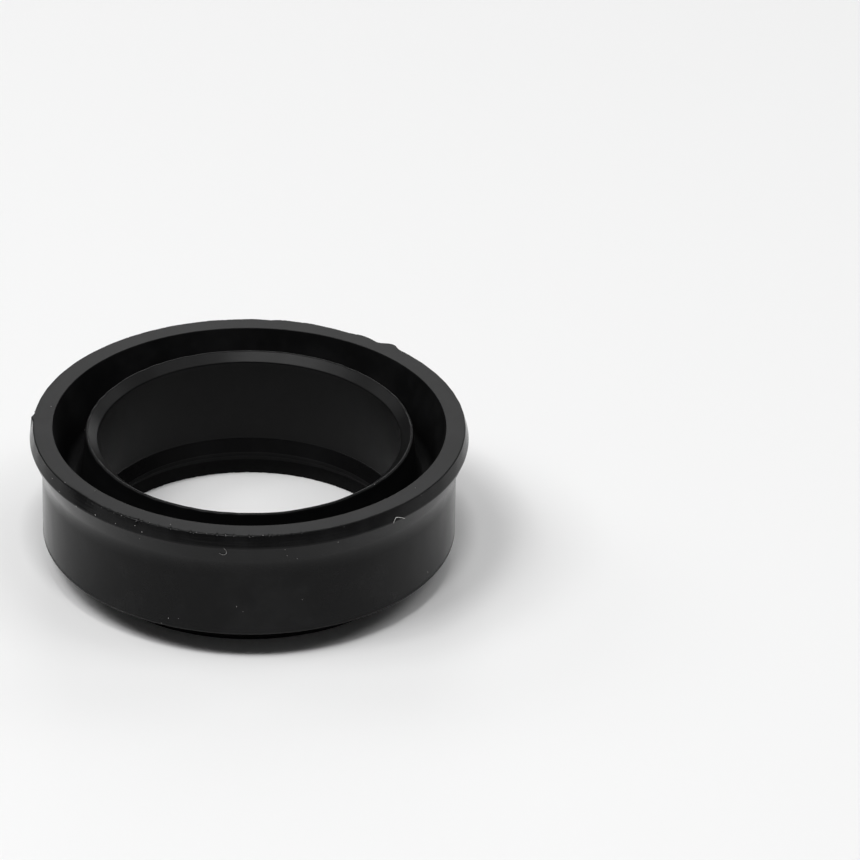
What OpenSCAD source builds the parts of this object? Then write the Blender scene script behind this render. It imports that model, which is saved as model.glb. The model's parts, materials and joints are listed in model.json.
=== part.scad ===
// Dust wiper seal: a one-piece moulded rubber ring with two lips.
// It stands on its wiper collar, with the open groove upwards.
// Z is the ring's axis and z = 0 is the collar's end face.
// Sizes are in millimetres, for the ring as moulded, before a rod spreads it.

/* [Rod side] */
// Diameter of the rod that both lips close on
rod_dia = 20; // [14:0.5:40]
// How far the sealing lip's edge stands inside the rod's surface
lip_squeeze = 0.1; // [0:0.02:0.4]
// Width of the sealing lip's slanted crest, from its edge to the groove
lip_width = 0.78; // [0.5:0.02:1.1]
// How far the wiping edge stands inside the rod's surface
wiper_squeeze = 0.25; // [0.05:0.02:0.5]
// Length of the wiping edge's narrow land along the rod
wiper_land = 0.3; // [0.15:0.05:0.5]
// Height of the wiping land's middle above the collar's end face
wiper_height = 1.75; // [1.5:0.05:1.9]
// Radial depth of the relief between the two lips, from the wiping land
relief_depth = 0.55; // [0.3:0.05:0.9]
// Height of the relief's corner above the collar's end face
relief_low = 2.65; // [2.3:0.05:3.2]

/* [Lips and groove] */
// Width of the groove's mouth, from the sealing lip to the rim
groove_mouth = 2.17; // [1.8:0.05:3.2]
// Depth of the groove below the rim
groove_depth = 3.85; // [2.6:0.05:4.6]
// How far the groove's outer wall leans in between its mouth and its floor
groove_lean = 0.76; // [0.3:0.05:0.9]
// How much thicker the sealing lip is at the groove's floor
lip_root = 0.36; // [0:0.02:0.5]
// Rounding of the groove's floor
groove_round = 0.45; // [0.15:0.05:0.5]
// Drop from the rim to the sealing lip's highest corner
lip_drop = 0.3; // [0.2:0.05:0.8]
// Drop from the rim to the sealing lip's edge
edge_drop = 0.95; // [0.85:0.05:1.5]
// Rounding of the sealing lip's highest corner
crest_round = 0.2; // [0.1:0.02:0.3]

/* [Rim and flare] */
// Width of the flat rim
rim_width = 1.28; // [0.8:0.05:2]
// How far the flare stands out past the rim
rim_bevel = 0.24; // [0.1:0.05:0.6]
// Drop from the rim to the flare's widest edge
rim_drop = 0.8; // [0.4:0.05:1.4]
// How far the flare stands out past the body
flare_reach = 0.82; // [0.4:0.05:1.1]
// Rounding of the rim's outer edge
rim_round = 0.15; // [0.05:0.05:0.3]
// Rounding of the flare's widest edge
flare_round = 0.45; // [0.1:0.05:0.6]
// Drop from the rim to the crease where the flare meets the body
neck_drop = 2.8; // [2:0.05:4]
// Rounding of that crease
neck_round = 3.5; // [0.5:0.5:5]

/* [Body and collar] */
// Height of the whole ring
height = 9.65; // [8.8:0.05:12]
// Height of the shoulder above the collar's end face
shoulder_height = 1.8; // [1.2:0.05:2.6]
// Width of the collar's end face
collar_width = 0.92; // [0.6:0.02:1.4]
// How far the collar's bore stands outside the wiping land
collar_step = 0.46; // [0.2:0.02:0.7]
// Height of the collar's bore, up to the wiping edge's underside
collar_bore = 1.05; // [0.7:0.05:1.1]
// How much the collar widens from its end face to the shoulder
collar_taper = 0.08; // [0:0.02:0.2]
// Rounding between the collar and the shoulder
collar_round = 0.4; // [0.1:0.05:0.6]
// Rounding of the body's corner at the shoulder
shoulder_round = 0.22; // [0.05:0.02:0.5]

/* [Hidden] */

// Radii, built outwards from the rod.
edge_r = rod_dia / 2 - lip_squeeze;
crest_r = edge_r + lip_width;
mouth_r = crest_r + groove_mouth;
rim_r = mouth_r + rim_width;
flare_r = rim_r + rim_bevel;
body_r = flare_r - flare_reach;
wiper_r = rod_dia / 2 - wiper_squeeze;
relief_r = wiper_r + relief_depth;
collar_in_r = wiper_r + collar_step;
collar_out_r = collar_in_r + collar_width;

// Roundings of the small corners, as the mould and the trimming leave them.
sharp_round = 0.05;
soft_round = 0.15;
crease_round = 0.3;
arc_steps = 6;
turn_steps = 240;

// The section's corners in order, each as radius, height and rounding.
corners = [
    [collar_out_r, 0, soft_round],
    [collar_out_r + collar_taper, shoulder_height, collar_round],
    [body_r, shoulder_height, shoulder_round],
    [body_r, height - neck_drop, neck_round],
    [flare_r, height - rim_drop, flare_round],
    [rim_r, height, rim_round],
    [mouth_r, height, sharp_round],
    [mouth_r - groove_lean, height - groove_depth, groove_round],
    [crest_r + lip_root, height - groove_depth, groove_round],
    [crest_r, height - lip_drop, crest_round],
    [edge_r, height - edge_drop, soft_round],
    [relief_r, relief_low, crease_round],
    [wiper_r, wiper_height + wiper_land / 2, sharp_round],
    [wiper_r, wiper_height - wiper_land / 2, sharp_round],
    [collar_in_r, collar_bore, soft_round],
    [collar_in_r, 0, sharp_round]
];

// A corner's plain point.
function spot(c) = [c[0], c[1]];

// A vector of length one.
function unit(v) = v / norm(v);

// The arc that rounds corner b between its neighbours a and c.
// It never takes more than a set share of either side.
function rounded(a, b, c, r) =
    let (
        share = 0.45,
        u = unit(a - b),
        v = unit(c - b),
        half = acos(u * v) / 2,
        reach = min(r / tan(half), share * norm(a - b), share * norm(c - b)),
        centre = b + unit(u + v) * reach / cos(half),
        first = b + u * reach - centre,
        last = b + v * reach - centre,
        start = atan2(first[1], first[0]),
        turn = atan2(cross(first, last), first * last)
    )
    [for (i = [0:arc_steps])
        centre + norm(first) * [cos(start + turn * i / arc_steps), sin(start + turn * i / arc_steps)]];

// The whole section, with every corner rounded.
function section() =
    let (n = len(corners))
    [for (i = [0:n - 1])
        each rounded(spot(corners[(i + n - 1) % n]), spot(corners[i]), spot(corners[(i + 1) % n]), corners[i][2])];

module wiper_ring() {
    color([0.05, 0.05, 0.052])
        rotate_extrude($fn = turn_steps)
            polygon(section());
}

wiper_ring();
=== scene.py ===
"""Dresses a moulded rubber dust wiper seal and lights it on a plain pale floor.

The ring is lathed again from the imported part's own sizes, with the small unevenness that a mould and a
trimming knife leave on its edges. Dust and two bits of lint lie on it. Lengths are millimetres up to the
point where a mesh is made, and every mesh is in metres, in the part's frame.
"""

from __future__ import annotations

import json
import logging
import math
from dataclasses import dataclass, field
from enum import Enum

import bpy
import numpy as np
from mathutils import Matrix, Vector
from mathutils.bvhtree import BVHTree


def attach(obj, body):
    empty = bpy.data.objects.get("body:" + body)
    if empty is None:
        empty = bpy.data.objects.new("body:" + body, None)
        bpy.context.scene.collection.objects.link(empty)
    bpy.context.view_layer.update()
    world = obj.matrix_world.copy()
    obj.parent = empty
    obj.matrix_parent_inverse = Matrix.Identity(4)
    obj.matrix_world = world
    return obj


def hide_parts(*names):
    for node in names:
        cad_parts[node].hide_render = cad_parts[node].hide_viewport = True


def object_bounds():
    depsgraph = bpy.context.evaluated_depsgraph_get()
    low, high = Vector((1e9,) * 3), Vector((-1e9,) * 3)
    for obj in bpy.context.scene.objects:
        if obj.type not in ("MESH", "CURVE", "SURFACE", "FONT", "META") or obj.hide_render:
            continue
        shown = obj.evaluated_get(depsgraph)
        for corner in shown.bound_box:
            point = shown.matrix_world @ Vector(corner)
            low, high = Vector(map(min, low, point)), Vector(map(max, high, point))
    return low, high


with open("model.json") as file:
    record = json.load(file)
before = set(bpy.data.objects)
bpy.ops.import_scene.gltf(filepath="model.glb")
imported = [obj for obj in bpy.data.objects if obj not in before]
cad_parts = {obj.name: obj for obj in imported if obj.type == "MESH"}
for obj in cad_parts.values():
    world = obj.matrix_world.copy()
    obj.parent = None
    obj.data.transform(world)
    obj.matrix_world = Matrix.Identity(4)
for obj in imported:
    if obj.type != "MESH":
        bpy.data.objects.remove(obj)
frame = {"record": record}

LOG = logging.getLogger("wiper_seal")
MM = 0.001
CAD_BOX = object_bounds()
RING_NODE = "wiper_ring"
BODY = "root"


class Edge(Enum):
    """The corners of the ring's section, in the order in which the outline meets them."""

    COLLAR_FOOT = "collar foot"
    COLLAR_ROOT = "collar root"
    SHOULDER = "shoulder"
    NECK = "neck"
    FLARE = "flare"
    RIM = "rim"
    MOUTH = "mouth"
    GROOVE_OUTER = "groove outer"
    GROOVE_INNER = "groove inner"
    CREST = "crest"
    LIP = "lip"
    RELIEF = "relief"
    WIPER_HIGH = "wiper high"
    WIPER_LOW = "wiper low"
    COLLAR_BORE = "collar bore"
    COLLAR_MOUTH = "collar mouth"


def packed_mount(name: str) -> dict:
    """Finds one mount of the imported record.

    Args:
        name: The mount's name in the record.

    Returns:
        The mount, as the record holds it.
    """
    return next(m for m in frame["record"]["mounts"] if m["name"] == name)


@dataclass(frozen=True)
class Corner:
    """One rounded corner of the section: its place, its rounding and how finely the arc is cut."""

    edge: Edge
    radius: float
    height: float
    rounding: float
    steps: int


@dataclass(frozen=True)
class Outline:
    """The section's closed outline as points, with the run along it and its direction at each point.

    For each edge, swell says how far each point moves when that edge's rounding grows by one millimetre.
    """

    radius: np.ndarray
    height: np.ndarray
    run: np.ndarray
    length: float
    along: np.ndarray
    edge_run: dict[Edge, float]
    swell: dict[Edge, np.ndarray]

    def closeness(self, edge: Edge, reach: float) -> np.ndarray:
        """Weighs each point by how near it is to an edge.

        Args:
            edge: The edge to measure from.
            reach: How far along the outline the weight falls to about 0.6.

        Returns:
            One weight a point, 1 at the edge.
        """
        gap = np.abs(self.run - self.edge_run[edge])
        gap = np.minimum(gap, self.length - gap)
        return np.exp(-0.5 * (gap / reach) ** 2)


@dataclass(frozen=True)
class Section:
    """The ring's section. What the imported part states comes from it, and the rest are its own sizes."""

    height: float = CAD_BOX[1][2] / MM
    flare_radius: float = CAD_BOX[1][0] / MM
    body_radius: float = packed_mount("housing_seat")["dims"]["r_mm"]
    wiper_radius: float = packed_mount("rod_bore")["dims"]["r_mm"]
    wiper_height: float = packed_mount("rod_bore")["pos_m"][2] / MM
    shoulder_height: float = packed_mount("shoulder_face")["pos_m"][2] / MM
    wiper_reach: float = 0.15
    wiper_land: float = 0.1
    relief_depth: float = 0.55
    relief_low: float = 2.65
    lip_over_wiper: float = 0.15
    lip_width: float = 0.78
    lip_root: float = 0.36
    lip_drop: float = 0.3
    edge_drop: float = 0.95
    groove_mouth: float = 2.17
    groove_depth: float = 3.85
    groove_lean: float = 0.76
    rim_bevel: float = 0.24
    flare_trim: float = 0.015
    rim_drop: float = 0.84
    neck_drop: float = 2.8
    collar_width: float = 0.92
    collar_step: float = 0.46
    collar_bore: float = 1.05
    collar_taper: float = 0.08
    share: float = 0.45
    wall_step: float = 1.0

    def corners(self) -> list[Corner]:
        """Places the section's corners.

        Returns:
            The sixteen corners in order, from the collar's foot up the outside and down the bore.
        """
        lip = self.wiper_radius + self.lip_over_wiper
        crest = lip + self.lip_width
        mouth = crest + self.groove_mouth
        flare = self.flare_radius + self.flare_trim
        rim = flare - self.rim_bevel
        relief = self.wiper_radius + self.relief_depth
        collar_in = self.wiper_radius + self.collar_step
        collar_out = collar_in + self.collar_width
        collar_root = collar_out + self.collar_taper
        floor = self.height - self.groove_depth
        wiper_low = self.wiper_height - self.wiper_reach
        return [
            Corner(Edge.COLLAR_FOOT, collar_out, 0, rounding=0.15, steps=2),
            Corner(Edge.COLLAR_ROOT, collar_root, self.shoulder_height, rounding=0.4, steps=3),
            Corner(Edge.SHOULDER, self.body_radius, self.shoulder_height, rounding=0.22, steps=4),
            Corner(Edge.NECK, self.body_radius, self.height - self.neck_drop, rounding=3.5, steps=6),
            Corner(Edge.FLARE, flare, self.height - self.rim_drop, rounding=0.25, steps=5),
            Corner(Edge.RIM, rim, self.height, rounding=0.09, steps=4),
            Corner(Edge.MOUTH, mouth, self.height, rounding=0.05, steps=3),
            Corner(Edge.GROOVE_OUTER, mouth - self.groove_lean, floor, rounding=0.45, steps=3),
            Corner(Edge.GROOVE_INNER, crest + self.lip_root, floor, rounding=0.45, steps=3),
            Corner(Edge.CREST, crest, self.height - self.lip_drop, rounding=0.14, steps=5),
            Corner(Edge.LIP, lip, self.height - self.edge_drop, rounding=0.15, steps=5),
            Corner(Edge.RELIEF, relief, self.relief_low, rounding=0.3, steps=3),
            Corner(Edge.WIPER_HIGH, self.wiper_radius, wiper_low + self.wiper_land, rounding=0.05, steps=2),
            Corner(Edge.WIPER_LOW, self.wiper_radius, wiper_low, rounding=0.05, steps=2),
            Corner(Edge.COLLAR_BORE, collar_in, self.collar_bore, rounding=0.15, steps=2),
            Corner(Edge.COLLAR_MOUTH, collar_in, 0, rounding=0.05, steps=2),
        ]

    def arc(self, before: Corner, corner: Corner, after: Corner) -> tuple[np.ndarray, np.ndarray, np.ndarray]:
        """Rounds one corner with an arc that touches both sides.

        Args:
            before: The corner that the outline comes from.
            corner: The corner to round.
            after: The corner that the outline goes on to.

        Returns:
            The arc's points, the outline's direction at each of them, and how each moves with the rounding.
        """
        spot = np.array([corner.radius, corner.height])
        back = np.array([before.radius, before.height]) - spot
        on = np.array([after.radius, after.height]) - spot
        u = back / np.linalg.norm(back)
        v = on / np.linalg.norm(on)
        half = math.acos(float(u @ v)) / 2
        most = self.share * min(np.linalg.norm(back), np.linalg.norm(on))
        reach = min(corner.rounding / math.tan(half), most)
        size = reach * math.tan(half)
        middle = spot + (u + v) / np.linalg.norm(u + v) * reach / math.cos(half)
        first = (spot + u * reach - middle) / size
        last = (spot + v * reach - middle) / size
        start = math.atan2(first[1], first[0])
        turn = math.atan2(first[0] * last[1] - first[1] * last[0], float(first @ last))
        bearing = start + turn * np.linspace(0, 1, corner.steps + 1)
        outward = np.column_stack([np.cos(bearing), np.sin(bearing)])
        along = np.column_stack([-outward[:, 1], outward[:, 0]]) * math.copysign(1, turn)
        points = middle + outward * size
        return points, along, (points - spot) / size

    def outline(self) -> Outline:
        """Joins the arcs with straight walls that have a point every wall step or so.

        Returns:
            The closed outline.
        """
        corners = self.corners()
        count = len(corners)
        arcs = [self.arc(corners[i - 1], corners[i], corners[(i + 1) % count]) for i in range(count)]
        points: list[np.ndarray] = []
        along: list[np.ndarray] = []
        middles: dict[Edge, int] = {}
        moves: dict[Edge, tuple[int, np.ndarray]] = {}
        for i, (spots, directions, swell) in enumerate(arcs):
            middles[corners[i].edge] = len(points) + corners[i].steps // 2
            moves[corners[i].edge] = (len(points), swell)
            points.extend(spots)
            along.extend(directions)
            wall = arcs[(i + 1) % count][0][0] - spots[-1]
            pieces = max(1, round(float(np.linalg.norm(wall)) / self.wall_step))
            for k in range(1, pieces):
                points.append(spots[-1] + wall * k / pieces)
                along.append(directions[-1])
        path = np.array(points)
        hops = np.linalg.norm(np.roll(path, -1, axis=0) - path, axis=1)
        run = np.concatenate([[0.0], np.cumsum(hops)[:-1]])
        edge_run = {edge: float(run[i]) for edge, i in middles.items()}
        swells = {}
        for edge, (first, swell) in moves.items():
            swells[edge] = np.zeros_like(path)
            swells[edge][first : first + len(swell)] = swell
        return Outline(path[:, 0], path[:, 1], run, float(hops.sum()), np.array(along), edge_run, swells)


@dataclass(frozen=True)
class Ripple:
    """Unevenness that closes on itself round the ring: a sum of waves with random phases.

    All waves are equally strong, their lobes are drawn evenly from the range, and the whole has a root mean
    square of about 1.
    """

    seed: int
    fewest_lobes: int
    most_lobes: int
    waves: int
    slant: float = 0.0

    def over(self, bearing: np.ndarray, run: np.ndarray) -> np.ndarray:
        """Evaluates the ripple on a grid.

        Args:
            bearing: Bearings round the ring in radians, along the columns.
            run: Run along the outline in millimetres, along the rows.

        Returns:
            The ripple's value for each row and column.
        """
        dice = np.random.default_rng(self.seed)
        lobes = dice.integers(self.fewest_lobes, self.most_lobes + 1, self.waves)
        phases = dice.uniform(0, math.tau, self.waves)
        slants = dice.uniform(-self.slant, self.slant, self.waves)
        total = np.zeros((len(run), len(bearing)))
        for lobe, phase, slant in zip(lobes, phases, slants):
            total += np.cos(lobe * bearing[None, :] + slant * run[:, None] + phase)
        return total * math.sqrt(2 / self.waves)

    def round_edge(self, bearing: np.ndarray) -> np.ndarray:
        """The ripple's value at each bearing of one edge."""
        return self.over(bearing, np.zeros(1))[0]


@dataclass(frozen=True)
class Stretch:
    """A stretch of the ring, by bearing, where some unevenness is strongest.

    For a dent the amount is the millimetres that the trimming knife took off, below 0 where it left some
    standing. For the tears and the wander it says how much more of them there is.
    """

    bearing_deg: float
    width_deg: float
    amount: float

    def over(self, bearing: np.ndarray) -> np.ndarray:
        """Spreads the amount over the ring.

        Args:
            bearing: Bearings round the ring in radians.

        Returns:
            The amount at each bearing, which fades out to both sides of the stretch.
        """
        turn = np.radians(self.bearing_deg)
        gap = np.abs((bearing - turn + math.pi) % math.tau - math.pi)
        return self.amount * np.exp(-0.5 * (gap / math.radians(self.width_deg)) ** 2)


class Signal:
    """A node socket that takes part in expressions. Each operator adds one Math node."""

    def __init__(self, book: "NodeBook", socket: bpy.types.NodeSocket) -> None:
        """Keeps the socket and the node book that it belongs to."""
        self.book = book
        self.socket = socket

    def _math(self, operation: str, *values: "Signal | float") -> "Signal":
        """Adds a Math node.

        Args:
            operation: The node's operation.
            values: Its inputs, in order.

        Returns:
            The node's value.
        """
        inputs = dict(enumerate(values))
        return self.book.value("ShaderNodeMath", {"operation": operation}, inputs)

    def __add__(self, other: "Signal | float") -> "Signal":
        """Adds."""
        return self._math("ADD", self, other)

    __radd__ = __add__

    def __sub__(self, other: "Signal | float") -> "Signal":
        """Takes other away."""
        return self._math("SUBTRACT", self, other)

    def __rsub__(self, other: "Signal | float") -> "Signal":
        """Takes this away from other."""
        return self._math("SUBTRACT", other, self)

    def __mul__(self, other: "Signal | float") -> "Signal":
        """Multiplies."""
        return self._math("MULTIPLY", self, other)

    __rmul__ = __mul__

    def __truediv__(self, other: "Signal | float") -> "Signal":
        """Divides by other."""
        return self._math("DIVIDE", self, other)

    def __rtruediv__(self, other: "Signal | float") -> "Signal":
        """Divides other by this."""
        return self._math("DIVIDE", other, self)

    def __pow__(self, other: "Signal | float") -> "Signal":
        """Raises to a power."""
        return self._math("POWER", self, other)

    def __rpow__(self, other: "Signal | float") -> "Signal":
        """Raises other to this power."""
        return self._math("POWER", other, self)

    def least(self, other: "Signal | float") -> "Signal":
        """The smaller of the two."""
        return self._math("MINIMUM", self, other)

    def size(self) -> "Signal":
        """Its size without its sign."""
        return self._math("ABSOLUTE", self)

    def angle(self, other: "Signal") -> "Signal":
        """The bearing in radians of a point that lies this far across and other ahead."""
        return self._math("ARCTAN2", self, other)

    def ramp(self, start: float, end: float) -> "Signal":
        """Turns the value into a smooth step.

        Args:
            start: The value at which the step is 0.
            end: The value at which it is 1.

        Returns:
            The step.
        """
        settings = {"interpolation_type": "SMOOTHSTEP"}
        inputs = {"Value": self, "From Min": start, "From Max": end}
        return self.book.value("ShaderNodeMapRange", settings, inputs)

    def bell(self, middle: float, reach: float) -> "Signal":
        """Is 1 at middle and falls smoothly to 0 at reach on both sides."""
        return 1 - (self - middle).size().ramp(0, reach)


@dataclass(frozen=True)
class Mottling:
    """The make-up of a noise: its waves a metre, its layers and how much the finer ones weigh."""

    scale: float
    detail: float = 2.0
    rough: float = 0.5


class NodeBook:
    """The nodes of a material or of the world."""

    def __init__(self, owner: bpy.types.Material | bpy.types.World) -> None:
        """Clears the owner's nodes and keeps their tree.

        Args:
            owner: The material or the world.
        """
        owner.use_nodes = True
        self.tree = owner.node_tree
        self.tree.nodes.clear()

    def add(self, kind: str, settings: dict | None = None, inputs: dict | None = None) -> bpy.types.Node:
        """Adds one node.

        Args:
            kind: The node's type.
            settings: Its properties, set first.
            inputs: Values or links for its sockets, by name or number.

        Returns:
            The node.
        """
        node = self.tree.nodes.new(kind)
        for key, setting in (settings or {}).items():
            setattr(node, key, setting)
        for key, given in (inputs or {}).items():
            socket = node.inputs[key]
            if isinstance(given, Signal):
                self.tree.links.new(given.socket, socket)
            else:
                socket.default_value = given
        return node

    def value(
        self, kind: str, settings: dict | None = None, inputs: dict | None = None, output: int | str = 0
    ) -> Signal:
        """Adds one node and gives one of its outputs.

        Args:
            kind: The node's type.
            settings: Its properties.
            inputs: Values or links for its sockets.
            output: The output's number or name.

        Returns:
            That output.
        """
        return Signal(self, self.add(kind, settings, inputs).outputs[output])

    def place(self) -> Signal:
        """The point's place in the object, in metres."""
        return self.value("ShaderNodeTexCoord", {}, {}, "Object")

    def noise(self, place: Signal, kind: Mottling) -> Signal:
        """Noise about 0.5."""
        inputs = {"Vector": place, "Scale": kind.scale, "Detail": kind.detail, "Roughness": kind.rough}
        return self.value("ShaderNodeTexNoise", {}, inputs)

    def blend(self, share: Signal, first: tuple, second: tuple) -> Signal:
        """Mixes two colours by a share from 0 to 1."""
        inputs = {"Factor": share, 6: (*first, 1.0), 7: (*second, 1.0)}
        return self.value("ShaderNodeMix", {"data_type": "RGBA"}, inputs, 2)

    def finish(self, output: str, shader: Signal) -> None:
        """Joins a shader to an output node of the given type."""
        self.add(output, {}, {"Surface": shader})


@dataclass(frozen=True)
class RubberFinish:
    """Black moulded rubber: glossy outside, duller in the bore and groove, cut dull where it was trimmed,
    with painted shade in the bore.
    """

    section: Section
    skin_colour: tuple[float, float, float] = (0.0042, 0.0042, 0.0044)
    haze_colour: tuple[float, float, float] = (0.0115, 0.0115, 0.0119)
    # How far the haze is cut back toward the axis: painted shade in the bore, lip and collar.
    bore_painted_shade: float = 0.7
    ior: float = 1.23
    outside: float = 0.18
    inside: float = 0.5
    lip: float = 0.38
    relief: float = 0.22
    collar: float = 0.95
    shoulder: float = 0.45
    cut: float = 0.36
    roughness_swing: float = 0.06
    feather: float = 0.1
    wall_margin: float = 0.5
    bore_margin: float = 0.3
    edge_margin: float = 0.05
    lip_fade: float = 0.3
    shoulder_fade: tuple[float, float] = (0.25, 0.5)
    cut_fade: tuple[float, float] = (0.06, 0.02)
    fine: Mottling = Mottling(14000, 3.0, 0.6)
    cloud: Mottling = Mottling(260, 3.0, 0.55)
    patch: Mottling = Mottling(900)
    lane: Mottling = Mottling(1.0)
    cloud_range: tuple[float, float] = (0.42, 0.72)
    patch_range: tuple[float, float] = (0.5, 0.8)
    cloud_share: float = 0.7
    patch_share: float = 0.3
    bore_fade: float = 1.0
    band_fade: tuple[float, float] = (0.6, 0.4)
    grain_depth: float = 0.0012
    drag_depth: float = 0.006
    drag_along: float = 5.0
    drag_across: float = 8.0

    def roughness(self, radius: Signal, z: Signal) -> Signal:
        """Works out the roughness of each zone of the section.

        Args:
            radius: The distance from the axis in millimetres.
            z: The height in millimetres.

        Returns:
            The roughness.
        """
        section = self.section
        edge = self.edge_margin
        lip_top = section.wiper_radius + section.lip_over_wiper + section.lip_width
        lip_low = section.height - section.edge_drop
        land_top = section.wiper_height - section.wiper_reach + section.wiper_land
        wall = section.body_radius - self.wall_margin
        bore = lip_top - self.bore_margin
        outward = radius.ramp(wall, wall + self.feather)
        on_lip = 1 - radius.ramp(lip_top + edge, lip_top + edge + self.feather)
        on_lip = on_lip * z.ramp(lip_low - self.lip_fade, lip_low)
        in_bore = 1 - radius.ramp(bore, bore + self.feather)
        in_collar = in_bore * (1 - z.ramp(land_top + edge, land_top + edge + self.feather))
        in_relief = in_bore * (1 - z.ramp(section.relief_low, section.relief_low + self.feather)) - in_collar
        shoulder_low, shoulder_high = (section.shoulder_height + rise for rise in self.shoulder_fade)
        on_shoulder = outward * (1 - z.ramp(shoulder_low, shoulder_high))
        cut_low, cut_high = (section.height - drop for drop in self.cut_fade)
        on_top = z.ramp(cut_low, cut_high)
        total = self.inside + outward * (self.outside - self.inside)
        total = total + on_shoulder * (self.shoulder - self.outside)
        total = total + on_lip * (self.lip - self.inside)
        total = total + in_collar * (self.collar - self.inside)
        total = total + in_relief * (self.relief - self.inside)
        return total * (1 - on_top) + on_top * self.cut

    def build(self) -> bpy.types.Material:
        """Builds the material.

        Returns:
            The material.
        """
        material = bpy.data.materials.new("moulded_rubber")
        book = NodeBook(material)
        place = book.place()
        split = book.add("ShaderNodeSeparateXYZ", {}, {0: place})
        x, y, z = (Signal(book, output) / MM for output in split.outputs)
        radius = (x * x + y * y) ** 0.5
        section = self.section
        fine = book.noise(place, self.fine)
        cloud = book.noise(place, self.cloud)
        patch = book.noise(place, self.patch)
        haze_and_painted_shade = cloud.ramp(*self.cloud_range) * self.cloud_share
        haze_and_painted_shade = haze_and_painted_shade + patch.ramp(*self.patch_range) * self.patch_share
        # Painted shade: the random haze is cut back toward the axis, so the bore, lip and collar are painted
        # darker where they lie in shade.
        relief = section.wiper_radius + section.relief_depth
        bore = 1 - radius.ramp(relief, section.body_radius - self.bore_fade)
        haze_and_painted_shade = (haze_and_painted_shade * (1 - bore * self.bore_painted_shade)).least(1.0)
        swing = (patch + fine + cloud - 1.5) * self.roughness_swing
        band = z.bell(section.height - section.rim_drop / 2, section.rim_drop / 2)
        band_in, band_out = (section.flare_radius - depth for depth in self.band_fade)
        turn = x.angle(0 - y) * self.drag_along
        across = {0: turn, 1: z * self.drag_across, 2: radius * self.drag_across}
        lane = book.value("ShaderNodeCombineXYZ", {}, across)
        drag = book.noise(lane, self.lane) * band * radius.ramp(band_in, band_out)
        height = fine * self.grain_depth + drag * self.drag_depth
        bump = book.value("ShaderNodeBump", {}, {"Height": height, "Strength": 1.0, "Distance": MM})
        looks = {
            "Base Color": book.blend(haze_and_painted_shade, self.skin_colour, self.haze_colour),
            "Roughness": self.roughness(radius, z) + swing,
            "IOR": self.ior,
            "Normal": bump,
        }
        book.finish("ShaderNodeOutputMaterial", book.value("ShaderNodeBsdfPrincipled", {}, looks))
        return material


@dataclass(frozen=True)
class DustFinish:
    """Dry pale dust or lint."""

    name: str
    pale: tuple[float, float, float]
    dull: tuple[float, float, float]
    roughness: float = 0.9
    blotch: Mottling = Mottling(9000)
    blotch_range: tuple[float, float] = (0.35, 0.65)
    fluff: Mottling = Mottling(40000, 2.0, 0.6)
    fluff_strength: float = 0.6
    fluff_depth: float = 0.01

    def build(self) -> bpy.types.Material:
        """Builds the material.

        Returns:
            The material.
        """
        material = bpy.data.materials.new(self.name)
        book = NodeBook(material)
        place = book.place()
        share = book.noise(place, self.blotch).ramp(*self.blotch_range)
        fluff = book.noise(place, self.fluff)
        relief = {"Height": fluff, "Strength": self.fluff_strength, "Distance": self.fluff_depth * MM}
        looks = {
            "Base Color": book.blend(share, self.pale, self.dull),
            "Roughness": self.roughness,
            "Normal": book.value("ShaderNodeBump", {}, relief),
        }
        book.finish("ShaderNodeOutputMaterial", book.value("ShaderNodeBsdfPrincipled", {}, looks))
        return material


@dataclass(frozen=True)
class FloorFinish:
    """Matt pale board."""

    colour: tuple[float, float, float] = (0.88, 0.88, 0.88)
    softer: float = 0.995
    mottle: Mottling = Mottling(30)

    def build(self) -> bpy.types.Material:
        """Builds the material.

        Returns:
            The material.
        """
        material = bpy.data.materials.new("pale_board")
        book = NodeBook(material)
        soft = tuple(c * self.softer for c in self.colour)
        colour = book.blend(book.noise(book.place(), self.mottle), self.colour, soft)
        board = book.value("ShaderNodeBsdfDiffuse", {}, {"Color": colour})
        book.finish("ShaderNodeOutputMaterial", board)
        return material


@dataclass(frozen=True)
class Pixel:
    """A place in the photograph."""

    column: float
    row: float


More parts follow.
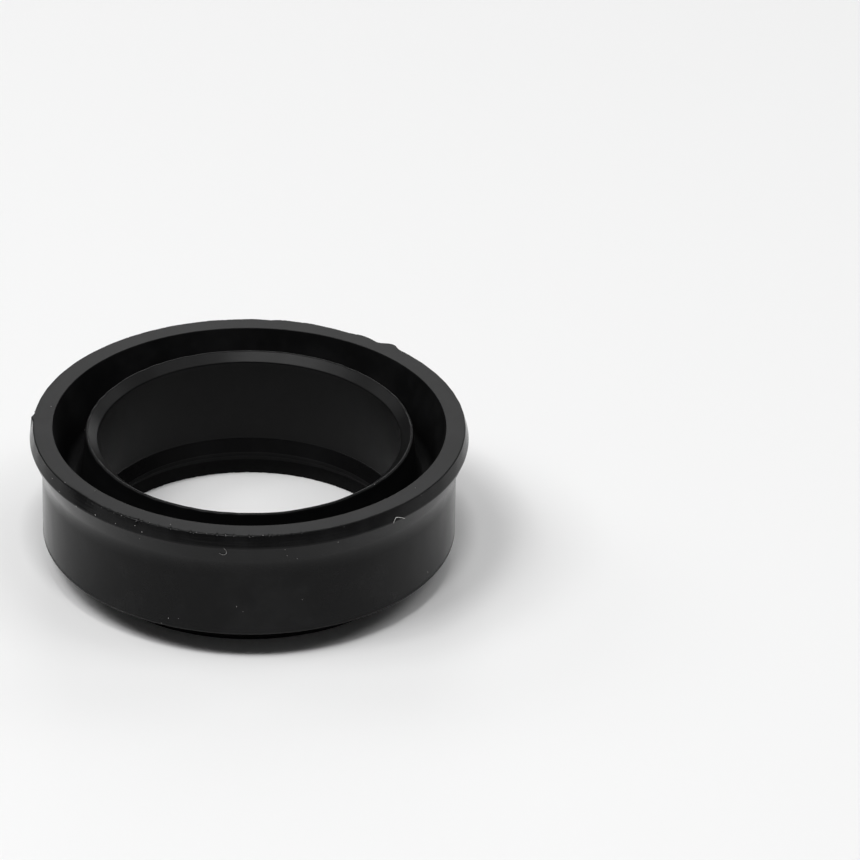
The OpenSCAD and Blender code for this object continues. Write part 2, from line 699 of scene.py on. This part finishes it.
@dataclass(frozen=True)
class PhotoCamera:
    """The photograph's camera in the part's frame, and the way from one of its pixels into the scene."""

    image_px: int = 860
    focal_px: float = 7500.0
    place: tuple[float, float, float] = (0.0, -423.8, 255.57)
    bearing_deg: float = 1.5955
    dip_deg: float = 30.1522
    roll_deg: float = -1.0174
    sensor: float = 36.0
    nearest: float = 0.01
    farthest: float = 20.0

    def directions(self) -> tuple[Vector, Vector, Vector]:
        """Works out which way the camera looks.

        Returns:
            The camera's right, up and forward directions.
        """
        bearing, dip, roll = (math.radians(a) for a in (self.bearing_deg, self.dip_deg, self.roll_deg))
        ahead = Vector((math.sin(bearing) * math.cos(dip), math.cos(bearing) * math.cos(dip), -math.sin(dip)))
        level = Vector((math.cos(bearing), -math.sin(bearing), 0))
        below = ahead.cross(level)
        right = level * math.cos(roll) + below * math.sin(roll)
        down = below * math.cos(roll) - level * math.sin(roll)
        return right, -down, ahead

    def ray(self, pixel: Pixel) -> tuple[Vector, Vector]:
        """Finds the line of sight through a pixel.

        Args:
            pixel: The place in the photograph, with 0, 0 as the middle of its first pixel.

        Returns:
            The ray's start in metres, and its direction.
        """
        right, up, ahead = self.directions()
        centre = (self.image_px - 1) / 2
        way = ahead * self.focal_px + right * (pixel.column - centre) + up * (centre - pixel.row)
        return Vector(self.place) * MM, way.normalized()

    def build(self) -> None:
        """Makes the camera and gives it to the scene."""
        data = bpy.data.cameras.new("photo_camera")
        data.sensor_width = self.sensor
        data.lens = self.sensor * self.focal_px / self.image_px
        data.clip_start = self.nearest
        data.clip_end = self.farthest
        camera = bpy.data.objects.new("photo_camera", data)
        right, up, ahead = self.directions()
        turn = Matrix((right, up, -ahead)).transposed().to_4x4()
        camera.matrix_world = Matrix.Translation(Vector(self.place) * MM) @ turn
        bpy.context.scene.collection.objects.link(camera)
        bpy.context.scene.camera = camera


def make_mesh(name: str, vertices: np.ndarray, faces: list | np.ndarray) -> bpy.types.Object:
    """Makes a smooth-shaded mesh object.

    Args:
        name: The piece's name.
        vertices: Its points in metres.
        faces: Its faces as lists of point numbers.

    Returns:
        The object, linked to the scene.
    """
    mesh = bpy.data.meshes.new(name)
    mesh.from_pydata(vertices.tolist(), [], faces if isinstance(faces, list) else faces.tolist())
    mesh.polygons.foreach_set("use_smooth", [True] * len(mesh.polygons))
    mesh.update()
    piece = bpy.data.objects.new(name, mesh)
    bpy.context.scene.collection.objects.link(piece)
    return piece


@dataclass
class WiperRing:
    """The moulded ring, lathed from its section with the unevenness of its edges."""

    section: Section = field(default_factory=Section)
    columns: int = 1180
    rim_fray: float = 0.022
    deepest_tear: float = 0.28
    tear_sharpness: float = 1.5
    coarse_share: float = 0.5
    rim_wander: float = 0.016
    rim_reach: float = 0.35
    lip_fray: float = 0.01
    crest_wander: float = 0.006
    mouth_fray: float = 0.03
    flash: float = 0.012
    flash_reach: float = 0.3
    flash_range: tuple[float, float] = (-0.4, 2.5)
    sway: float = 0.02
    sway_reach: float = 1.0
    sway_rise: float = 0.4
    skin_wave: float = 0.0012
    fine_tears: Ripple = Ripple(11, 60, 480, 90)
    coarse_tears: Ripple = Ripple(12, 8, 60, 30)
    lip_tears: Ripple = Ripple(13, 40, 420, 80)
    mouth_tears: Ripple = Ripple(14, 40, 420, 80)
    sideways: Ripple = Ripple(15, 2, 7, 6)
    upwards: Ripple = Ripple(16, 3, 24, 10)
    skin: Ripple = Ripple(17, 4, 60, 40, 2.0)
    crest_line: Ripple = Ripple(18, 12, 60, 40)
    rim_line: Ripple = Ripple(19, 9, 70, 40)
    flash_line: Ripple = Ripple(20, 10, 120, 50)
    dents: tuple[Stretch, ...] = (
        Stretch(48.2, 1.4, -0.30),
        Stretch(52.3, 1.3, 0.20),
        Stretch(63, 3.2, 0.13),
        Stretch(69, 2.5, 0.03),
        Stretch(81, 1.4, -0.06),
        Stretch(84.5, 1.1, 0.06),
        Stretch(176.3, 0.9, -0.16),
        Stretch(-140, 4, 0.10),
        Stretch(-54, 6, 0.05),
    )
    wander_least: float = 0.3
    wander_stretches: tuple[Stretch, ...] = (Stretch(72, 25, 0.8),)
    torn_least: float = 0.3
    torn_stretches: tuple[Stretch, ...] = (
        Stretch(-103, 20, 5.5),
        Stretch(70, 22, 1.0),
        Stretch(118, 18, 0.4),
    )
    piece: bpy.types.Object | None = None
    tree: BVHTree | None = None

    def unevenness(self, outline: Outline, bearing: np.ndarray) -> tuple[np.ndarray, np.ndarray]:
        """Works out how far each point stands off the true section.

        Args:
            outline: The section's outline.
            bearing: Bearings of the columns in radians.

        Returns:
            The radial and the upright offsets in millimetres, by row and column.
        """
        radial = np.zeros((len(outline.run), len(bearing)))
        upright = np.zeros_like(radial)
        torn = np.clip(self.fine_tears.round_edge(bearing), 0, None) ** self.tear_sharpness
        torn = torn + self.coarse_share * np.clip(self.coarse_tears.round_edge(bearing), 0, None)
        torn = torn * (self.torn_least + sum(stretch.over(bearing) for stretch in self.torn_stretches))
        frays = {
            Edge.RIM: np.minimum(torn * self.rim_fray, self.deepest_tear),
            Edge.LIP: np.clip(self.lip_tears.round_edge(bearing), -1, None) * self.lip_fray,
            Edge.CREST: self.crest_line.round_edge(bearing) * self.crest_wander,
            Edge.COLLAR_MOUTH: np.clip(self.mouth_tears.round_edge(bearing), 0, None) * self.mouth_fray,
        }
        for edge, growth in frays.items():
            radial += outline.swell[edge][:, :1] * growth
            upright += outline.swell[edge][:, 1:] * growth
        wander = self.wander_least + sum(stretch.over(bearing) for stretch in self.wander_stretches)
        trimmed = sum(dent.over(bearing) for dent in self.dents)
        trimmed = trimmed + self.rim_line.round_edge(bearing) * wander * self.rim_wander
        radial -= outline.closeness(Edge.RIM, self.rim_reach)[:, None] * trimmed
        flash = np.clip(self.flash_line.round_edge(bearing), *self.flash_range) * self.flash
        radial -= outline.closeness(Edge.COLLAR_MOUTH, self.flash_reach)[:, None] * flash
        sealing = outline.closeness(Edge.CREST, self.sway_reach)[:, None] * self.sway
        radial -= sealing * self.sideways.round_edge(bearing)
        upright += sealing * self.upwards.round_edge(bearing) * self.sway_rise
        radial += self.skin.over(bearing, outline.run) * self.skin_wave
        return radial, upright

    def build(self) -> None:
        """Makes the ring's mesh, with its own normals, and the tree that lines of sight are cast at."""
        outline = self.section.outline()
        bearing = np.arange(self.columns) * math.tau / self.columns
        radial, upright = self.unevenness(outline, bearing)
        radius = outline.radius[:, None] + radial
        height = outline.height[:, None] + upright
        radius = np.minimum(radius, self.section.flare_radius)
        height = np.clip(height, 0, self.section.height)
        cosine, sine = np.cos(bearing)[None, :], np.sin(bearing)[None, :]
        points = np.stack([radius * cosine, radius * sine, height], axis=-1) * MM
        rows = len(outline.run)
        numbers = np.arange(rows * self.columns).reshape(rows, self.columns)
        right = np.roll(numbers, -1, axis=1)
        faces = np.stack([numbers, right, np.roll(right, -1, axis=0), np.roll(numbers, -1, axis=0)], axis=-1)
        self.piece = make_mesh("ring_skin", points.reshape(-1, 3), faces.reshape(-1, 4))
        normals = self.normals(outline, radius, radial, upright, bearing)
        self.piece.data.normals_split_custom_set_from_vertices(normals.reshape(-1, 3).tolist())
        self.tree = BVHTree.FromPolygons(points.reshape(-1, 3).tolist(), faces.reshape(-1, 4).tolist())
        LOG.info("ring_skin: %d rows by %d columns, %d faces", rows, self.columns, faces.size // 4)

    def normals(
        self,
        outline: Outline,
        radius: np.ndarray,
        radial: np.ndarray,
        upright: np.ndarray,
        bearing: np.ndarray,
    ) -> np.ndarray:
        """Works out the true normals of the uneven surface.

        Args:
            outline: The section's outline.
            radius: The radius of each point in millimetres.
            radial: Its radial offset.
            upright: Its upright offset.
            bearing: Bearings of the columns in radians.

        Returns:
            A unit normal for each row and column.
        """
        hop = (np.roll(outline.run, -1) - np.roll(outline.run, 1)) % outline.length
        slope_r = (np.roll(radial, -1, axis=0) - np.roll(radial, 1, axis=0)) / hop[:, None]
        slope_z = (np.roll(upright, -1, axis=0) - np.roll(upright, 1, axis=0)) / hop[:, None]
        along_r = outline.along[:, :1] + slope_r
        along_z = outline.along[:, 1:] + slope_z
        step = math.tau / self.columns
        round_r = (np.roll(radial, -1, axis=1) - np.roll(radial, 1, axis=1)) / (2 * step)
        round_z = (np.roll(upright, -1, axis=1) - np.roll(upright, 1, axis=1)) / (2 * step)
        out = radius * along_z
        side = round_z * along_r - round_r * along_z
        up = -radius * along_r
        size = np.sqrt(out**2 + side**2 + up**2)
        cosine, sine = np.cos(bearing)[None, :], np.sin(bearing)[None, :]
        across = out * cosine - side * sine
        ahead = out * sine + side * cosine
        return np.stack([across, ahead, up], axis=-1) / size[..., None]

    def dress(self) -> None:
        """Gives the ring its rubber and hands it to the frame."""
        self.piece.data.materials.append(RubberFinish(self.section).build())
        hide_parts(RING_NODE)
        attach(self.piece, BODY)


@dataclass(frozen=True)
class Speck(Pixel):
    """A grain of dust that the photograph shows at a pixel, and its width in millimetres."""

    width: float = 0.07


@dataclass
class Dust:
    """Loose dust: the grains that the photograph shows, and a like scatter on the sides that it doesn't."""

    ring: WiperRing
    camera: PhotoCamera
    finish: DustFinish = DustFinish("dry_dust", (0.44, 0.43, 0.42), (0.24, 0.235, 0.23))
    scatter: int = 90
    scatter_width: tuple[float, float] = (0.04, 0.10)
    full_face: float = 8e-8
    above_floor: float = 0.2
    behind_skin: float = 0.3
    edge_flecks: int = 50
    fleck_width: tuple[float, float] = (0.012, 0.028)
    fleck_aim: float = 0.6
    fleck_drop: float = 0.5
    fleck_far: float = 20.0
    fleck_rise: tuple[float, float] = (6.2, 0.12)
    share: float = 0.75
    seed: int = 5
    rings: int = 4
    sides: int = 7
    stretch: tuple[float, float] = (0.7, 1.35)
    lump: tuple[float, float] = (0.75, 1.15)
    flatness: float = 0.7
    sunk: float = 0.15
    shown: tuple[Speck, ...] = (
        Speck(column=76, row=506, width=0.11),
        Speck(column=95, row=514.5, width=0.12),
        Speck(column=50.5, row=406, width=0.10),
        Speck(column=64.5, row=482, width=0.09),
        Speck(column=52, row=478),
        Speck(column=94.5, row=490.5, width=0.09),
        Speck(column=59, row=491),
        Speck(column=115, row=523),
        Speck(column=121, row=515),
        Speck(column=134.5, row=525, width=0.07),
        Speck(column=141.5, row=531.5, width=0.08),
        Speck(column=139, row=538, width=0.06),
        Speck(column=149, row=522, width=0.06),
        Speck(column=170, row=524, width=0.09),
        Speck(column=196, row=532, width=0.08),
        Speck(column=206, row=533, width=0.06),
        Speck(column=225, row=534.5, width=0.07),
        Speck(column=262.5, row=535, width=0.08),
        Speck(column=284.5, row=549, width=0.08),
        Speck(column=286.5, row=555, width=0.08),
        Speck(column=296.5, row=558, width=0.08),
        Speck(column=337.5, row=541.5, width=0.09),
        Speck(column=236, row=606, width=0.08),
        Speck(column=242.5, row=611, width=0.05),
        Speck(column=302, row=599, width=0.06),
        Speck(column=178, row=618),
        Speck(column=122, row=611, width=0.09),
        Speck(column=168, row=617.5, width=0.08),
        Speck(column=161, row=622.5, width=0.06),
        Speck(column=427, row=571.5, width=0.09),
        Speck(column=374, row=484, width=0.08),
        Speck(column=415, row=487.5, width=0.07),
    )
    piece: bpy.types.Object | None = None

    def grain(
        self, spot: Vector, normal: Vector, width: float, dice: np.random.Generator
    ) -> tuple[list[Vector], list[list[int]]]:
        """Shapes one grain, as a lumpy flattened ball.

        Args:
            spot: Where it lies on the skin, in metres.
            normal: The skin's normal there.
            width: Its width in millimetres.
            dice: The source of its random shape.

        Returns:
            Its points and its faces, numbered from 0.
        """
        rings, sides = self.rings, self.sides
        side = normal.orthogonal().normalized()
        across = normal.cross(side)
        turn = dice.uniform(0, math.tau)
        stretch = dice.uniform(*self.stretch)
        points = []
        for i in range(1, rings):
            tilt = math.pi * i / rings
            for j in range(sides):
                angle = math.tau * j / sides + turn
                lump = dice.uniform(*self.lump) * width * MM / 2
                flat = side * math.cos(angle) * stretch + across * math.sin(angle) / stretch
                rise = math.cos(tilt) * self.flatness + self.flatness / 2
                points.append(spot + (flat * math.sin(tilt) + normal * rise) * lump)
        points.append(spot + normal * width * MM / 2)
        points.append(spot - normal * width * MM * self.sunk)
        top, bottom = len(points) - 2, len(points) - 1
        faces = []
        for j in range(sides):
            k = (j + 1) % sides
            faces.append([top, j, k])
            for i in range(rings - 2):
                low = (i + 1) * sides
                faces.append([i * sides + j, low + j, low + k, i * sides + k])
            last = (rings - 2) * sides
            faces.append([bottom, last + k, last + j])
        return points, faces

    def hidden_spots(self, dice: np.random.Generator) -> list[tuple[Vector, Vector]]:
        """Picks places for the scatter that the camera doesn't see.

        Args:
            dice: The source of the random picks.

        Returns:
            Points on the skin and their normals.
        """
        eye = Vector(self.camera.place) * MM
        polygons = self.ring.piece.data.polygons
        spots = []
        while len(spots) < self.scatter:
            polygon = polygons[int(dice.integers(len(polygons)))]
            low = polygon.center.z < self.above_floor * MM
            if dice.random() * self.full_face > polygon.area or low:
                continue
            spot = polygon.center.copy()
            normal = polygon.normal.copy()
            way = (spot - eye).normalized()
            hit = self.ring.tree.ray_cast(eye, way)[0]
            if hit is None or (hit - spot).length > self.behind_skin * MM:
                spots.append((spot, normal))
        return spots

    def edge_spots(self, dice: np.random.Generator) -> list[tuple[Vector, Vector]]:
        """Picks places along the rim's trimmed edge, where the finest flecks catch.

        Args:
            dice: The source of the random picks.

        Returns:
            Points on the skin and their normals.
        """
        section = self.ring.section
        aim = Vector((0, 0, section.height - self.fleck_drop)) * MM
        spots = []
        for _ in range(self.edge_flecks):
            bearing = dice.uniform(0, math.tau)
            out = Vector((math.cos(bearing), math.sin(bearing), 0))
            start = aim + out * self.fleck_far * MM + Vector((0, 0, dice.normal(*self.fleck_rise))) * MM
            way = (aim + out * (section.flare_radius - self.fleck_aim) * MM - start).normalized()
            hit, normal = self.ring.tree.ray_cast(start, way)[:2]
            if hit is not None:
                spots.append((hit, normal))
        return spots

    def build(self) -> None:
        """Makes all the grains as one piece."""
        dice = np.random.default_rng(self.seed)
        spots = []
        for speck in self.shown:
            hit, normal = self.ring.tree.ray_cast(*self.camera.ray(speck))[:2]
            if hit is not None:
                spots.append((hit, normal, speck.width * self.share))
        for spot, normal in self.hidden_spots(dice):
            spots.append((spot, normal, dice.uniform(*self.scatter_width)))
        for spot, normal in self.edge_spots(dice):
            spots.append((spot, normal, dice.uniform(*self.fleck_width)))
        points: list[Vector] = []
        faces: list[list[int]] = []
        for spot, normal, width in spots:
            more, sides = self.grain(spot, normal, width, dice)
            faces.extend([[n + len(points) for n in side] for side in sides])
            points.extend(more)
        self.piece = make_mesh("dust_specks", np.array(points), faces)
        LOG.info("dust_specks: %d grains", len(spots))

    def dress(self) -> None:
        """Gives the dust its finish and hands it to the frame."""
        self.piece.data.materials.append(self.finish.build())
        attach(self.piece, BODY)


@dataclass
class Lint:
    """A stray fibre that lies on the ring, along the pixels that it covers in the photograph."""

    name: str
    ring: WiperRing
    camera: PhotoCamera
    track: tuple[Pixel, ...]
    thickness: float
    brightness: float
    tint: tuple[float, float, float] = (1.0, 0.99, 0.97)
    dullness: float = 0.75
    tip: float = 0.35
    lift: float = 0.03
    sides: int = 8
    cuts: int = 7
    piece: bpy.types.Object | None = None

    def spine(self) -> list[Vector]:
        """Lays a smooth curve through the track, on the ring's skin.

        Returns:
            The curve's points in metres.
        """
        knots = []
        for pixel in self.track:
            hit, normal = self.ring.tree.ray_cast(*self.camera.ray(pixel))[:2]
            knots.append(hit + normal * (self.thickness / 2 + self.lift) * MM)
        knots = [2 * knots[0] - knots[1], *knots, 2 * knots[-1] - knots[-2]]
        curve = []
        for a, b, c, d in zip(knots, knots[1:], knots[2:], knots[3:]):
            for i in range(self.cuts):
                t = i / self.cuts
                bend = (2 * a - 5 * b + 4 * c - d) * t**2 + (3 * b - a - 3 * c + d) * t**3
                curve.append((2 * b + (c - a) * t + bend) / 2)
        curve.append(knots[-2])
        return curve

    def build(self) -> None:
        """Sweeps the fibre along its spine, thinner at its ends."""
        curve = self.spine()
        points: list[Vector] = []
        side = (curve[1] - curve[0]).orthogonal().normalized()
        for i, spot in enumerate(curve):
            ahead = (curve[min(i + 1, len(curve) - 1)] - curve[max(i - 1, 0)]).normalized()
            side = (side - ahead * side.dot(ahead)).normalized()
            across = ahead.cross(side)
            share = i / (len(curve) - 1)
            thin = self.tip + (1 - self.tip) * math.sin(math.pi * share) ** 0.5
            size = self.thickness / 2 * MM * thin
            for j in range(self.sides):
                angle = math.tau * j / self.sides
                points.append(spot + (side * math.cos(angle) + across * math.sin(angle)) * size)
        faces = [
            [i * self.sides + j, i * self.sides + k, (i + 1) * self.sides + k, (i + 1) * self.sides + j]
            for i in range(len(curve) - 1)
            for j, k in zip(range(self.sides), [*range(1, self.sides), 0])
        ]
        last = (len(curve) - 1) * self.sides
        faces.append(list(range(self.sides))[::-1])
        faces.append([last + j for j in range(self.sides)])
        self.piece = make_mesh(self.name, np.array(points), faces)
        LOG.info("%s: %d rings", self.name, len(curve))

    def dress(self) -> None:
        """Gives the fibre its finish and hands it to the frame."""
        pale = tuple(self.brightness * c for c in self.tint)
        dull = tuple(self.dullness * c for c in pale)
        self.piece.data.materials.append(DustFinish(self.name + "_fibre", pale, dull).build())
        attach(self.piece, BODY)


CURL_TRACK = (
    Pixel(column=223.5, row=547.5),
    Pixel(column=225.8, row=550),
    Pixel(column=225.8, row=552.5),
    Pixel(column=223, row=553.8),
    Pixel(column=220.5, row=553.2),
    Pixel(column=218.5, row=551.8),
)
HOOK_TRACK = (
    Pixel(column=392.5, row=522.3),
    Pixel(column=394, row=519),
    Pixel(column=395.3, row=517),
    Pixel(column=398, row=516.9),
    Pixel(column=401, row=517.2),
    Pixel(column=404.3, row=517.6),
)


@dataclass(frozen=True)
class Lamp:
    """A soft lamp that looks at the ring: where it hangs as seen from the ring, how large and how bright."""

    name: str
    bearing_deg: float
    elevation_deg: float
    distance: float
    width: float
    depth: float
    radiance: float

    def build(self) -> None:
        """Hangs the lamp."""
        data = bpy.data.lights.new(self.name, "AREA")
        data.shape = "RECTANGLE"
        data.size = self.width
        data.size_y = self.depth
        data.energy = self.radiance * math.pi * self.width * self.depth
        lamp = bpy.data.objects.new(self.name, data)
        bearing, elevation = math.radians(self.bearing_deg), math.radians(self.elevation_deg)
        flat = math.cos(elevation)
        way = Vector((math.sin(bearing) * flat, math.cos(bearing) * flat, math.sin(elevation)))
        turn = way.to_track_quat("Z", "Y").to_matrix().to_4x4()
        lamp.matrix_world = Matrix.Translation(way * self.distance) @ turn
        bpy.context.scene.collection.objects.link(lamp)


@dataclass
class Studio:
    """A pale floor, a world that is pale to the eye and dim as a light, and soft lamps."""

    floor_reach: float = 1.2
    floor_points: int = 9
    fill_strength: float = 0.105
    fill: float = 0.8
    backdrop: float = 0.92
    lamps: tuple[Lamp, ...] = (
        Lamp("lamp_front", 180, 72, 0.6, 0.095, 0.095, 31.0),
        Lamp("lamp_front_left", -130, 65, 0.6, 0.17, 0.17, 12.5),
        Lamp("lamp_front_right", 130, 65, 0.6, 0.17, 0.17, 1.5),
        Lamp("lamp_left", -100, 55, 0.6, 0.21, 0.21, 5.4),
        Lamp("lamp_left_low", -60, 32, 0.6, 0.21, 0.21, 2.3),
        Lamp("lamp_right", 100, 55, 0.6, 0.21, 0.21, 2.8),
        Lamp("lamp_right_low", 60, 32, 0.6, 0.21, 0.21, 2.2),
        Lamp("lamp_right_high", 90, 78, 0.6, 0.126, 0.126, 2.6),
        Lamp("lamp_back_high", 0, 45, 0.6, 0.17, 0.17, 1.6),
        Lamp("lamp_back", 0, 28, 0.6, 0.19, 0.19, 1.6),
        Lamp("lamp_back_low", 0, 12, 0.6, 0.15, 0.15, 2.5),
        Lamp("lamp_back_right", 30, 7, 0.6, 0.126, 0.126, 3.3),
    )

    def build_floor(self) -> None:
        """Lays the floor, as a shallow grid that is no part of the object."""
        reach = self.floor_reach / 2
        count = self.floor_points
        ticks = np.linspace(-reach, reach, count)
        points = np.array([[x, y, 0.0] for y in ticks for x in ticks])
        faces = [
            [j * count + i, j * count + i + 1, (j + 1) * count + i + 1, (j + 1) * count + i]
            for j in range(count - 1)
            for i in range(count - 1)
        ]
        floor = make_mesh("floor", points, faces)
        floor.data.materials.append(FloorFinish().build())

    def build_world(self) -> None:
        """Makes the world: pale to the camera, and dimmer as a light and in the rubber's gloss."""
        world = bpy.data.worlds.new("pale_room")
        book = NodeBook(world)
        dim = {"Color": (self.fill, self.fill, self.fill, 1.0), "Strength": self.fill_strength}
        pale = {"Color": (self.backdrop, self.backdrop, self.backdrop, 1.0), "Strength": 1.0}
        fill = book.value("ShaderNodeBackground", {}, dim)
        seen = book.value("ShaderNodeBackground", {}, pale)
        camera_ray = book.value("ShaderNodeLightPath", {}, {}, "Is Camera Ray")
        mixed = book.value("ShaderNodeMixShader", {}, {"Fac": camera_ray, 1: fill, 2: seen})
        book.finish("ShaderNodeOutputWorld", mixed)
        bpy.context.scene.world = world

    def build(self) -> None:
        """Sets up the floor, the world and the lamps."""
        self.build_floor()
        self.build_world()
        for lamp in self.lamps:
            lamp.build()
        bpy.context.scene.view_settings.view_transform = "Standard"
        LOG.info("studio: %d lamps", len(self.lamps))


def main() -> None:
    """Builds the camera, the studio, the ring and what lies on it."""
    logging.basicConfig(level=logging.INFO, format="%(name)s: %(message)s")
    camera = PhotoCamera()
    camera.build()
    Studio().build()
    ring = WiperRing()
    ring.build()
    ring.dress()
    dust = Dust(ring, camera)
    curl = Lint("lint_curl", ring, camera, CURL_TRACK, thickness=0.03, brightness=0.35)
    hook = Lint("lint_hook", ring, camera, HOOK_TRACK, thickness=0.032, brightness=0.8)
    for loose in (dust, curl, hook):
        loose.build()
        loose.dress()


if __name__ == "__main__":
    main()
